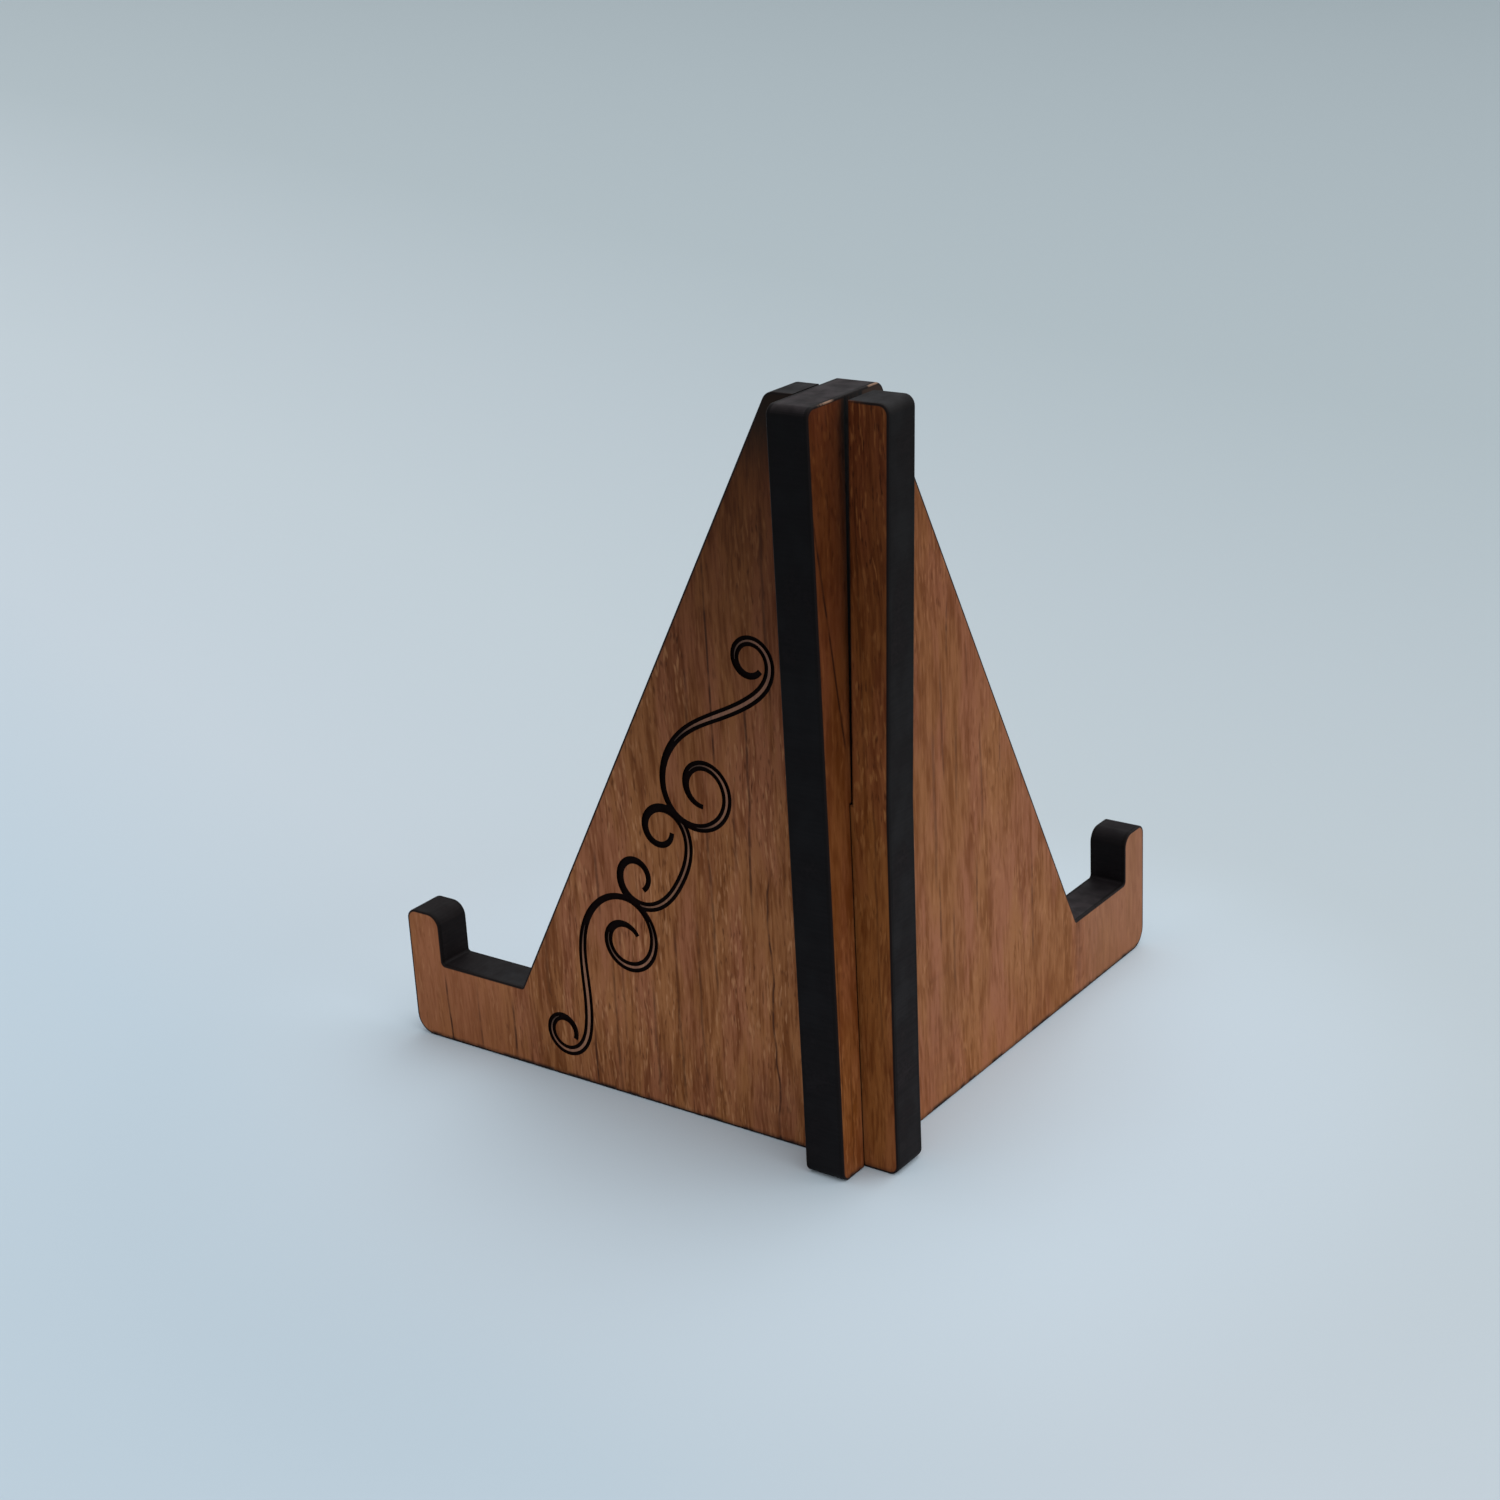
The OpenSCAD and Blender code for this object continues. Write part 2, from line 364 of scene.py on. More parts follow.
def make_char_group():
    """Laser char: soot black, striped through the board by the beam, rubbed in places, dusty and with a
    painted sheen on top, and painted shade high up.
    """
    tree, given, result = new_group(
        "laser_char",
        [("Place", "NodeSocketVector", (0, 0, 0)), ("Upward", "NodeSocketFloat", 0),
         ("Soot", "NodeSocketColor", srgb(16, 12, 14)), ("Rubbed", "NodeSocketColor", srgb(33, 29, 31)),
         ("Dust and sheen", "NodeSocketColor", srgb(48, 43, 45)), ("Wear", "NodeSocketFloat", 0.5)],
        [("Color", "NodeSocketColor"), ("Roughness", "NodeSocketFloat"), ("Height", "NodeSocketFloat")])
    place = given.outputs["Place"]
    stripes = stretched_noise(tree, place, (0.35, 9, 0.35), 2, 3)
    patches = stretched_noise(tree, place, (4, 5, 6), 3, 11)
    specks = stretched_noise(tree, place, (0.5, 0.5, 0.5), 2, 29)
    clouds = stretched_noise(tree, place, (2.6, 3.2, 2.6), 3, 7)
    worn = soft_step(tree, patches, 0.52, 0.7)
    worn = math_node(tree, "MULTIPLY", worn, given.outputs["Wear"])
    worn = math_node(tree, "MULTIPLY", worn, soft_step(tree, specks, 0.3, 0.6))
    streak = soft_step(tree, stripes, 0.3, 0.7, 0.0, 0.25)
    worn = math_node(tree, "ADD", worn, streak, clamp=True)
    colour = blend_colours(tree, worn, given.outputs["Soot"], given.outputs["Rubbed"])
    split = tree.nodes.new("ShaderNodeSeparateXYZ")
    tree.links.new(place, split.inputs[0])
    # Painted shade: the char darkens towards the top.
    high_up = soft_step(tree, split.outputs["Z"], 0, PANEL_HEIGHT - 2)
    colour = blend_colours(tree, high_up, colour, HIGH_CHAR_SHADE, "MULTIPLY")
    # Upward faces are paler: dust, and a painted sheen.
    patchy = soft_step(tree, clouds, 0.35, 0.62, 0.4, 1.0)
    dust_and_sheen = math_node(tree, "MULTIPLY", given.outputs["Upward"], patchy)
    # Phones rub the seat pale near the rest, and don't touch it close behind the lip.
    dust_and_sheen = math_node(tree, "MULTIPLY", dust_and_sheen, soft_step(tree, split.outputs["X"], *RUBBED_SEAT, 1.0, 0.25))
    colour = blend_colours(tree, dust_and_sheen, colour, given.outputs["Dust and sheen"])
    rough = soft_step(tree, patches, 0.3, 0.7, 0.55, 0.75)
    height = math_node(tree, "MULTIPLY_ADD", specks, 0.4, stripes)
    link(tree,
         (colour, result.inputs["Color"]),
         (rough, result.inputs["Roughness"]),
         (height, result.inputs["Height"]))
    return tree


char_group = make_char_group()
CHAR_SPECULAR = 0.09
CHAR_BUMP = 0.05
CORE_WEAR = 0.5
# Each char is soot, rubbed soot, and dust with a painted sheen.
# The scroll core's soot and rubbed soot are lighter than the plain core's: painted light on the side that
# faces the window.
SCROLL_CORE_CHAR = (srgb(17, 12, 13), srgb(38, 32, 33), srgb(29, 28, 30))
PLAIN_CORE_CHAR = (srgb(12, 9, 11), srgb(28, 24, 26), srgb(49, 43, 45))
# Dust and a painted sheen start at this upward slope of a face, and lie fully after this much more.
DUST_AND_SHEEN_FROM = 0.35
DUST_AND_SHEEN_RANGE = 0.6


def mark_upward(piece):
    """Marks how far each face looks up, where dust settles and a painted sheen lies."""
    upward = piece.data.attributes.new("upward", "FLOAT", "FACE")
    for face in piece.data.polygons:
        upward.data[face.index].value = min(max((face.normal.z - DUST_AND_SHEEN_FROM) / DUST_AND_SHEEN_RANGE, 0), 1)


def char_material(name, turn, wear, char_colours, specular=CHAR_SPECULAR):
    """Charred wood of one panel."""
    material = bpy.data.materials.new(name)
    material.use_nodes = True
    tree = material.node_tree
    shader = tree.nodes["Principled BSDF"]
    shader.inputs["Specular IOR Level"].default_value = specular
    char = add_node(tree, "ShaderNodeGroup", node_tree=char_group)
    char.inputs["Wear"].default_value = wear
    for socket, colour in zip(("Soot", "Rubbed", "Dust and sheen"), char_colours):
        char.inputs[socket].default_value = colour
    upward = add_node(tree, "ShaderNodeAttribute", attribute_name="upward")
    bump = add_node(tree, "ShaderNodeBump", {"Strength": 0.25, "Distance": CHAR_BUMP * MM})
    link(tree,
         (panel_place(tree, turn), char.inputs["Place"]),
         (upward.outputs["Fac"], char.inputs["Upward"]),
         (char.outputs["Color"], shader.inputs["Base Color"]),
         (char.outputs["Roughness"], shader.inputs["Roughness"]),
         (char.outputs["Height"], bump.inputs["Height"]),
         (bump.outputs["Normal"], shader.inputs["Normal"]))
    return material


scroll_char = char_material("scroll_panel_char", SCROLL_TURN, CORE_WEAR, SCROLL_CORE_CHAR)
plain_char = char_material("plain_panel_char", PLAIN_TURN, CORE_WEAR, PLAIN_CORE_CHAR)

scroll_core = scroll_panel_layer("scroll_core", -CORE / 2, CORE / 2)
merge_flat(scroll_core)
mark_upward(scroll_core)
give_materials(scroll_core, scroll_char)
stand_up(scroll_core, SCROLL_TURN, "scroll_panel", "scroll_panel_core")

plain_core = plain_panel_layer("plain_core", -CORE / 2, CORE / 2)
merge_flat(plain_core)
mark_upward(plain_core)
give_materials(plain_core, plain_char)
stand_up(plain_core, PLAIN_TURN, "plain_panel", "plain_panel_core")

# ---------------------------------------------------------------------------------------------
# Plain veneers.
# A 0.6 mm wood veneer is glued to both faces of each core before the laser cuts all three together.
# The cut scorches a thin line round each face, whose arris is eased a little by sanding.
EASE = 0.18
EASE_STEPS = 3
SCORCH_REACH = 0.3
# The scorch is weaker along the slots, which lie between these two places.
SLOT_SCORCH = 0.45
SLOT_BACK = -5.7
SLOT_FRONT = 3.7


def ease_face(piece, outside):
    """Eases the outer face's outline and draws a scorched margin inside it."""
    edit(piece)
    pick_faces(piece, lambda at, out: out.y * outside > 0.9)
    bpy.ops.mesh.region_to_loop()
    bpy.ops.mesh.bevel(offset=EASE * MM, segments=EASE_STEPS, clamp_overlap=False)
    pick_faces(piece, lambda at, out: out.y * outside > 0.999)
    bpy.ops.mesh.inset(thickness=SCORCH_REACH * MM, use_even_offset=True)
    done()


def finish_veneer(piece, outside, wood, char):
    """Gives the flat face and its eased arris wood, the cuts char, and marks how far the scorch reaches."""
    give_materials(piece, wood, char)
    mark_upward(piece)
    scorch = piece.data.attributes.new("scorch", "FLOAT", "POINT")
    edge_points = set()
    for face in piece.data.polygons:
        facing = face.normal.y * outside
        on_surface = abs(face.center.y * outside / MM - HALF_BOARD) < 0.001
        eased = 0.1 < facing < 0.999
        face.material_index = 0 if on_surface or eased else 1
        if eased:
            edge_points.update(face.vertices)
    for index in edge_points:
        forward = piece.data.vertices[index].co.x / MM
        scorch.data[index].value = SLOT_SCORCH if SLOT_BACK < forward < SLOT_FRONT else 1.0


def make_wood_group():
    """Reddish wood with upright grain: ribbons and fibres, golden and rosy zones, dark and pale flecks."""
    tree, given, result = new_group(
        "cherry_grain",
        [("Place", "NodeSocketVector", (0, 0, 0)), ("Pale", "NodeSocketColor", srgb(157, 101, 68)),
         ("Deep", "NodeSocketColor", srgb(126, 74, 41)), ("Golden", "NodeSocketColor", srgb(255, 254, 226)),
         ("Rosy", "NodeSocketColor", srgb(255, 247, 246)), ("Pore", "NodeSocketColor", srgb(84, 44, 22)),
         ("Fleck", "NodeSocketColor", srgb(192, 134, 92)), ("Fleck amount", "NodeSocketFloat", 0.6),
         ("Coarse", "NodeSocketFloat", 1), ("Offset", "NodeSocketFloat", 0)],
        [("Color", "NodeSocketColor"), ("Height", "NodeSocketFloat")])
    shift = add_node(tree, "ShaderNodeVectorMath", operation="ADD")
    offset = tree.nodes.new("ShaderNodeCombineXYZ")
    link(tree,
         (given.outputs["Offset"], offset.inputs["Y"]),
         (offset.outputs[0], shift.inputs[1]),
         (given.outputs["Place"], shift.inputs[0]))
    place = shift.outputs[0]
    wander = stretched_noise(tree, place, (26, 9, 45), 2, 5)
    wander = math_node(tree, "MULTIPLY_ADD", wander, 4.0, -2.0)
    split = tree.nodes.new("ShaderNodeSeparateXYZ")
    joined = tree.nodes.new("ShaderNodeCombineXYZ")
    tree.links.new(place, split.inputs[0])
    forward = math_node(tree, "ADD", split.outputs["X"], wander)
    forward = math_node(tree, "DIVIDE", forward, given.outputs["Coarse"])
    link(tree,
         (forward, joined.inputs["X"]),
         (split.outputs["Y"], joined.inputs["Y"]),
         (split.outputs["Z"], joined.inputs["Z"]))
    grain = joined.outputs[0]
    bands = stretched_noise(tree, grain, (8, 9, 80), 2, 2)
    ribbons = stretched_noise(tree, grain, (1.5, 9, 12), 3, 17)
    fibres = stretched_noise(tree, grain, (0.42, 9, 5), 2, 23)
    pores = stretched_noise(tree, grain, (0.4, 9, 2.2), 1, 41)
    flecks = stretched_noise(tree, grain, (0.42, 9, 2.4), 1, 53)
    patches = stretched_noise(tree, grain, (7, 9, 20), 2, 67)
    glow = stretched_noise(tree, grain, (4, 9, 24), 2, 31)
    lively = soft_step(tree, patches, 0.38, 0.6, 0.35, 1.0)
    tone = math_node(tree, "MULTIPLY", bands, 0.25)
    tone = math_node(tree, "MULTIPLY_ADD", ribbons, 0.4, tone)
    tone = math_node(tree, "MULTIPLY_ADD", fibres, 0.35, tone)
    tone = soft_step(tree, tone, 0.39, 0.6)
    colour = blend_colours(tree, tone, given.outputs["Deep"], given.outputs["Pale"])
    golden = soft_step(tree, glow, 0.38, 0.62)
    zone = blend_colours(tree, golden, given.outputs["Rosy"], given.outputs["Golden"])
    colour = blend_colours(tree, 1.0, colour, zone, "MULTIPLY")
    pore = math_node(tree, "MULTIPLY", soft_step(tree, pores, 0.55, 0.75), lively)
    pore_share = math_node(tree, "MULTIPLY", pore, given.outputs["Fleck amount"])
    colour = blend_colours(tree, pore_share, colour, given.outputs["Pore"])
    fleck = math_node(tree, "MULTIPLY", soft_step(tree, flecks, 0.55, 0.75), lively)
    fleck_share = math_node(tree, "MULTIPLY", fleck, given.outputs["Fleck amount"])
    colour = blend_colours(tree, fleck_share, colour, given.outputs["Fleck"])
    height = math_node(tree, "SUBTRACT", fibres, pore)
    link(tree, (colour, result.inputs["Color"]), (height, result.inputs["Height"]))
    return tree


def make_line_group():
    """One long dark line of the grain, which sways as it runs up and fades out at its ends."""
    tree, given, result = new_group(
        "grain_line",
        [("Place", "NodeSocketVector", (0, 0, 0)), ("Forward", "NodeSocketFloat", 0),
         ("Low", "NodeSocketFloat", 0), ("High", "NodeSocketFloat", 10), ("Slope", "NodeSocketFloat", 0),
         ("Width", "NodeSocketFloat", 0.3), ("Sway", "NodeSocketFloat", 1)],
        [("Mask", "NodeSocketFloat")])
    split = tree.nodes.new("ShaderNodeSeparateXYZ")
    tree.links.new(given.outputs["Place"], split.inputs[0])
    track = tree.nodes.new("ShaderNodeCombineXYZ")
    link(tree, (given.outputs["Forward"], track.inputs["X"]), (split.outputs["Z"], track.inputs["Z"]))
    sway = stretched_noise(tree, track.outputs[0], (1, 1, 12), 2, 61)
    sway = math_node(tree, "SUBTRACT", sway, 0.5)
    sway = math_node(tree, "MULTIPLY", sway, given.outputs["Sway"])
    rise = math_node(tree, "SUBTRACT", split.outputs["Z"], given.outputs["Low"])
    middle = math_node(tree, "MULTIPLY_ADD", rise, given.outputs["Slope"], given.outputs["Forward"])
    middle = math_node(tree, "ADD", middle, sway)
    distance = math_node(tree, "SUBTRACT", split.outputs["X"], middle)
    distance = math_node(tree, "DIVIDE", math_node(tree, "ABSOLUTE", distance), given.outputs["Width"])
    mask = soft_step(tree, distance, 0.2, 1.0, 1.0, 0.0)
    lower = soft_step(tree, rise, 0, 4)
    upper = soft_step(tree, math_node(tree, "SUBTRACT", given.outputs["High"], split.outputs["Z"]), 0, 5)
    breaks = stretched_noise(tree, track.outputs[0], (1, 1, 2.5), 2, 83)
    breaks = soft_step(tree, breaks, 0.3, 0.6, 0.4, 1.0)
    for part in (lower, upper, breaks):
        mask = math_node(tree, "MULTIPLY", mask, part)
    tree.links.new(mask, result.inputs["Mask"])
    return tree


wood_group = make_wood_group()
line_group = make_line_group()
WOOD_SPECULAR = 0.1
WOOD_BUMP = 0.04
NO_SHADE = srgb(255, 255, 255)
LINE_COLOUR = srgb(62, 31, 17)
SCORCH_COLOUR = srgb(20, 12, 11)
SLOT_SHADE_AND_SOOT_COLOUR = srgb(12, 8, 8)
TINT_COLOUR = srgb(146, 112, 97)
# This colour is both the engraving's smoke and the painted shade at the top.
SMOKE_AND_SHADE_COLOUR = srgb(52, 43, 37)
WORN_COLOUR = srgb(142, 112, 92)
# Places in millimetres above the table between which the wood changes
LOW_DOWN = (2, 16)
HIGH_UP = (30, 112)
TOP_SHADE_BAND = (97, 110)
FOOT_DARKENING = (0.25, 1.0)
STRIP_TOP = 104
# The same in millimetres forward of the crossing
TOP_SHADE_FROM = (-3, -1)
STRIP_EDGE = (2.5, 4.0)
AT_LIP = (58, 66)
# How strongly they change it
TOP_SHADE_SHARE = 0.95
LIP_SHARE = 0.5
MORE_FLECKS = 0.6
# The painted shade's rear edge moves this far forward for each millimetre above the lap.
SLOT_WIDENING = 0.036


def wood_material(name, turn, crossed_high, tones, strip, grain, lines, worn_spots):
    """Oiled wood veneer with its own long lines, painted shade and some soot in the crossing's gap, and
    scorched at its outline.

    The tones are the pale and deep grain, the painted shade low down and high up, and the lip. The strip
    behind the crossing has a low and a high painted shade, and the height from which it changes. The grain
    has its flecks, coarseness and offset. The worn spots are places forward, each with its reach.
    """
    pale, deep, low_painted_shade, high_painted_shade, lip = tones
    strip_low, strip_high, strip_from = strip
    fleck_amount, coarse, offset = grain
    material = bpy.data.materials.new(name)
    material.use_nodes = True
    tree = material.node_tree
    shader = tree.nodes["Principled BSDF"]
    shader.inputs["Specular IOR Level"].default_value = WOOD_SPECULAR
    place = panel_place(tree, turn)
    split = tree.nodes.new("ShaderNodeSeparateXYZ")
    tree.links.new(place, split.inputs[0])
    forward_of_crossing = split.outputs["X"]
    height = split.outputs["Z"]
    wood = add_node(tree, "ShaderNodeGroup", node_tree=wood_group)
    wood.inputs["Pale"].default_value = pale
    wood.inputs["Deep"].default_value = deep
    wood.inputs["Coarse"].default_value = coarse
    wood.inputs["Offset"].default_value = offset
    high_up = soft_step(tree, height, *HIGH_UP)
    more_flecks = math_node(tree, "MULTIPLY_ADD", high_up, MORE_FLECKS * fleck_amount, fleck_amount)
    link(tree, (place, wood.inputs["Place"]), (more_flecks, wood.inputs["Fleck amount"]))
    at_lip = soft_step(tree, forward_of_crossing, *AT_LIP, 0.0, LIP_SHARE)
    colour = blend_colours(tree, at_lip, wood.outputs["Color"], lip)
    for forward, low, high, slope, width, sway, strength in lines:
        line = add_node(tree, "ShaderNodeGroup", node_tree=line_group)
        for socket, value in (("Forward", forward), ("Low", low), ("High", high), ("Slope", slope),
                              ("Width", width), ("Sway", sway)):
            line.inputs[socket].default_value = value
        tree.links.new(place, line.inputs["Place"])
        share = math_node(tree, "MULTIPLY", line.outputs["Mask"], strength)
        colour = blend_colours(tree, share, colour, LINE_COLOUR)
    # Painted shade darkens the top from the crossing forward.
    top_shade = soft_step(tree, height, *TOP_SHADE_BAND, 0.0, TOP_SHADE_SHARE)
    top_shade = math_node(tree, "MULTIPLY", top_shade, soft_step(tree, forward_of_crossing, *TOP_SHADE_FROM))
    colour = blend_colours(tree, top_shade, colour, SMOKE_AND_SHADE_COLOUR)
    # Painted shade: darker low down by the floor, towards the top, and in the valley of the strip behind
    # the crossing.
    shade = blend_colours(tree, soft_step(tree, height, *LOW_DOWN), low_painted_shade, NO_SHADE)
    shade = blend_colours(tree, high_up, shade, high_painted_shade)
    strip_rise = soft_step(tree, height, strip_from, STRIP_TOP)
    strip_painted_shade = blend_colours(tree, strip_rise, strip_low, strip_high)
    behind = soft_step(tree, forward_of_crossing, *STRIP_EDGE, 1.0, 0.0)
    shade = blend_colours(tree, behind, shade, strip_painted_shade)
    colour = blend_colours(tree, 1.0, colour, shade, "MULTIPLY")
    # Painted shade in the gap of the other panel's slot, with some soot rubbed off its walls,
    # mostly at its corners, and less where it widens.
    above_lap = math_node(tree, "SUBTRACT", height, LAP_HEIGHT)
    widening = math_node(tree, "MULTIPLY", math_node(tree, "MAXIMUM", above_lap, 0.0), SLOT_WIDENING)
    from_rear = math_node(tree, "SUBTRACT", forward_of_crossing, widening)
    in_slot = soft_step(tree, from_rear, -HALF_BOARD, -HALF_BOARD + 0.2)
    before_front = soft_step(tree, forward_of_crossing, HALF_BOARD - 0.1, HALF_BOARD + 0.1, 1.0, 0.0)
    in_slot = math_node(tree, "MULTIPLY", in_slot, before_front)
    ends = (0.0, 1.0) if crossed_high else (1.0, 0.0)
    slot_side = soft_step(tree, height, LAP_HEIGHT - 0.3, LAP_HEIGHT, *ends)
    smears = stretched_noise(tree, place, (1.3, 9, 16), 3, 97)
    smears = soft_step(tree, smears, 0.4, 0.65, 0.1, 0.85)
    at_rear = soft_step(tree, from_rear, -HALF_BOARD + 0.5, -HALF_BOARD / 2, 1.0, 0.0)
    smears = math_node(tree, "MAXIMUM", smears, at_rear)
    at_front = soft_step(tree, forward_of_crossing, HALF_BOARD / 2, HALF_BOARD - 0.5)
    smears = math_node(tree, "MAXIMUM", smears, at_front)
    # Painted shade: the face inside the slot's gap is darkened, patchy in its middle.
    slot_shade_and_soot = math_node(tree, "MULTIPLY", math_node(tree, "MULTIPLY", in_slot, slot_side), smears)
    colour = blend_colours(tree, slot_shade_and_soot, colour, SLOT_SHADE_AND_SOOT_COLOUR)
    # The foot is darkened in spots to the scorch colour.
    spots = stretched_noise(tree, place, (2.4, 9, 2.4), 2, 71)
    spots = soft_step(tree, spots, 0.46, 0.62, 0.45, 1.0)
    foot = math_node(tree, "MULTIPLY", spots, soft_step(tree, height, *FOOT_DARKENING, 1.0, 0.0))
    colour = blend_colours(tree, foot, colour, SCORCH_COLOUR)
    scorch = add_node(tree, "ShaderNodeAttribute", attribute_name="scorch")
    burnt = soft_step(tree, scorch.outputs["Fac"], 0.15, 0.8)
    colour = blend_colours(tree, burnt, colour, SCORCH_COLOUR)
    # The top arris is worn back to bare wood in places.
    arris = soft_step(tree, height, PANEL_HEIGHT - 0.3, PANEL_HEIGHT - 0.15)
    frayed = soft_step(tree, stretched_noise(tree, place, (0.8, 9, 9), 2, 19), 0.3, 0.5)
    for middle, reach in worn_spots:
        away = math_node(tree, "ABSOLUTE", math_node(tree, "SUBTRACT", forward_of_crossing, middle))
        worn = math_node(tree, "MULTIPLY", soft_step(tree, away, 0.4 * reach, reach, 1.0, 0.0), arris)
        colour = blend_colours(tree, math_node(tree, "MULTIPLY", worn, frayed), colour, WORN_COLOUR)
    # Strips between burnt lines are tinted a little, and smoked where the lines lie close.
    smoke = add_node(tree, "ShaderNodeAttribute", attribute_name="smoke")
    tinted = soft_step(tree, smoke.outputs["Fac"], 0, 0.3, 0, 0.5)
    colour = blend_colours(tree, tinted, colour, TINT_COLOUR)
    smoked = soft_step(tree, smoke.outputs["Fac"], 0.4, 1, 0, 0.85)
    colour = blend_colours(tree, smoked, colour, SMOKE_AND_SHADE_COLOUR)
    rough = soft_step(tree, wood.outputs["Height"], -0.6, 0.6, 0.68, 0.55)
    bump = add_node(tree, "ShaderNodeBump", {"Strength": 0.3, "Distance": WOOD_BUMP * MM})
    link(tree,
         (colour, shader.inputs["Base Color"]),
         (rough, shader.inputs["Roughness"]),
         (wood.outputs["Height"], bump.inputs["Height"]),
         (bump.outputs["Normal"], shader.inputs["Normal"]))
    return material


# Long grain lines: forward, low, high, slope, half width, sway and strength, in millimetres on the panel
PLAIN_LINES = (
    (22.3, 68, 80, 0.03, 0.35, 0.8, 0.6), (20.5, 50, 70, 0.0, 0.4, 1.4, 0.5),
    (27.6, 62, 72, 0.0, 0.35, 0.8, 0.4), (18.2, 34, 62, 0.0, 0.6, 2.0, 0.4),
    (24.0, 44, 62, 0.0, 0.5, 1.4, 0.35), (31.0, 38, 58, 0.0, 0.4, 1.4, 0.45),
    (18.8, 24, 38, 0.0, 0.35, 1.0, 0.6), (29.3, 24, 37, 0.0, 0.3, 0.8, 0.6),
    (22.6, 16, 32, 0.0, 0.45, 1.2, 0.4), (36.5, 44, 57, 0.0, 0.35, 1.0, 0.4),
    (45.6, 12, 34, 0.0, 0.35, 1.2, 0.55), (60.2, -6, 18, 0.0, 1.5, 0.6, 0.28),
    (-3.6, 62, 100, -0.16, 0.32, 0.5, 0.9), (19.0, -6, 26, 0.0, 7.0, 0.5, 0.14),
    (-8.1, 8, 40, 0.0, 0.2, 0.4, 0.6), (-6.2, 0, 20, 0.03, 0.22, 0.8, 0.5))
# Tones hold the grain, the painted shade low down and high up, and the lip. Strips hold their painted
# shade.
PLAIN_TONES = (
    srgb(155, 101, 70), srgb(124, 72, 37), srgb(252, 248, 238), srgb(229, 218, 208), srgb(154, 107, 81))
PLAIN_STRIP = (srgb(248, 234, 206), srgb(171, 144, 112), 0)
PLAIN_GRAIN = (0.3, 1.6, 0)
PLAIN_WORN = ((-5.2, 2.1), (6.0, 1.8))
INNER_TONES = (
    srgb(156, 101, 70), srgb(123, 73, 40), srgb(250, 248, 244), srgb(210, 196, 180), srgb(152, 102, 72))
INNER_STRIP = (srgb(233, 214, 176), srgb(180, 150, 116), 30)
PLAIN_INNER_GRAIN = (0.4, 1.3, 50)
SCROLL_INNER_GRAIN = (0.4, 1.2, 90)
plain_outer_wood = wood_material(
    "plain_outer_wood", PLAIN_TURN, True, PLAIN_TONES, PLAIN_STRIP, PLAIN_GRAIN, PLAIN_LINES, PLAIN_WORN)
plain_inner_wood = wood_material(
    "plain_inner_wood", PLAIN_TURN, True, INNER_TONES, INNER_STRIP, PLAIN_INNER_GRAIN, (), ())
scroll_inner_wood = wood_material(
    "scroll_inner_wood", SCROLL_TURN, False, INNER_TONES, INNER_STRIP, SCROLL_INNER_GRAIN, (), ())

# The veneers burn blacker than the core between them.
VENEER_WEAR = 0.3
VENEER_CHAR = (srgb(11, 7, 7), srgb(24, 20, 21), srgb(24, 21, 22))
plain_veneer_char = char_material("plain_veneer_char", PLAIN_TURN, VENEER_WEAR, VENEER_CHAR)
scroll_veneer_char = char_material("scroll_veneer_char", SCROLL_TURN, VENEER_WEAR, VENEER_CHAR)

plain_outer = plain_panel_layer("plain_outer_veneer", -HALF_BOARD, -CORE / 2)
merge_flat(plain_outer)
ease_face(plain_outer, PLAIN_OUTSIDE)
finish_veneer(plain_outer, PLAIN_OUTSIDE, plain_outer_wood, plain_veneer_char)
stand_up(plain_outer, PLAIN_TURN, "plain_panel", "plain_panel_outer_veneer")

plain_inner = plain_panel_layer("plain_inner_veneer", CORE / 2, HALF_BOARD)
merge_flat(plain_inner)
ease_face(plain_inner, -PLAIN_OUTSIDE)
finish_veneer(plain_inner, -PLAIN_OUTSIDE, plain_inner_wood, plain_veneer_char)
stand_up(plain_inner, PLAIN_TURN, "plain_panel", "plain_panel_inner_veneer")

scroll_inner = scroll_panel_layer("scroll_inner_veneer", -HALF_BOARD, -CORE / 2)
merge_flat(scroll_inner)
ease_face(scroll_inner, -SCROLL_OUTSIDE)
finish_veneer(scroll_inner, -SCROLL_OUTSIDE, scroll_inner_wood, scroll_veneer_char)
stand_up(scroll_inner, SCROLL_TURN, "scroll_panel", "scroll_panel_inner_veneer")

# ---------------------------------------------------------------------------------------------
# Engraved veneer.
# The scroll panel's outer veneer carries two S-shaped scrolls along its slant, with a C-shaped one between.
# The laser burns each scroll 0.3 mm deep, all over or, where it is wide, as two lines round a bare strip.
LINE_DEPTH = 0.3
SLANT_ANGLE = math.atan2(SEAT_HEIGHT - PANEL_HEIGHT, REST_FOOT - TOP_FRONT)
ORNAMENT_ANGLE = SLANT_ANGLE + math.radians(3.3)
ORNAMENT_LOW = (HALF_BOARD + 5.2, 3.8)
ORNAMENT_HIGH = (REST_FOOT - 4.6, PANEL_HEIGHT - 34.2)
# Each scroll's bends in degrees a millimetre, ribbon widths and strip widths are evenly spaced along it.
# A strip width below zero leaves no bare strip.
S_START = (-37.9, 3.6)
S_HEADING = 5.5
S_LENGTH = 79.2
S_BENDS = (25.5, 22.3, 16.1, 2.8, 0.1, -4.2, -6.3, -10.8, -9.4, -12.9, -18.1, -19)
S_WIDTHS = (0.85, 1.5, 1.65, 1.7, 1.65, 1.4, 1.1, 1, 1.5, 1.7, 1.5, 0.75)
S_STRIPS = (-0.4, 0.2, 0.42, 0.5, 0.5, 0.2, -0.3, -0.2, 0.3, 0.4, 0.1, -0.4)
C_HALF_LENGTH = 26.6
C_BENDS = (2.1, 6.7, 13.4, 16.2, 23.4, 23.9)
C_WIDTHS = (1.5, 1.5, 1.55, 1.3, 1.15, 0.8)
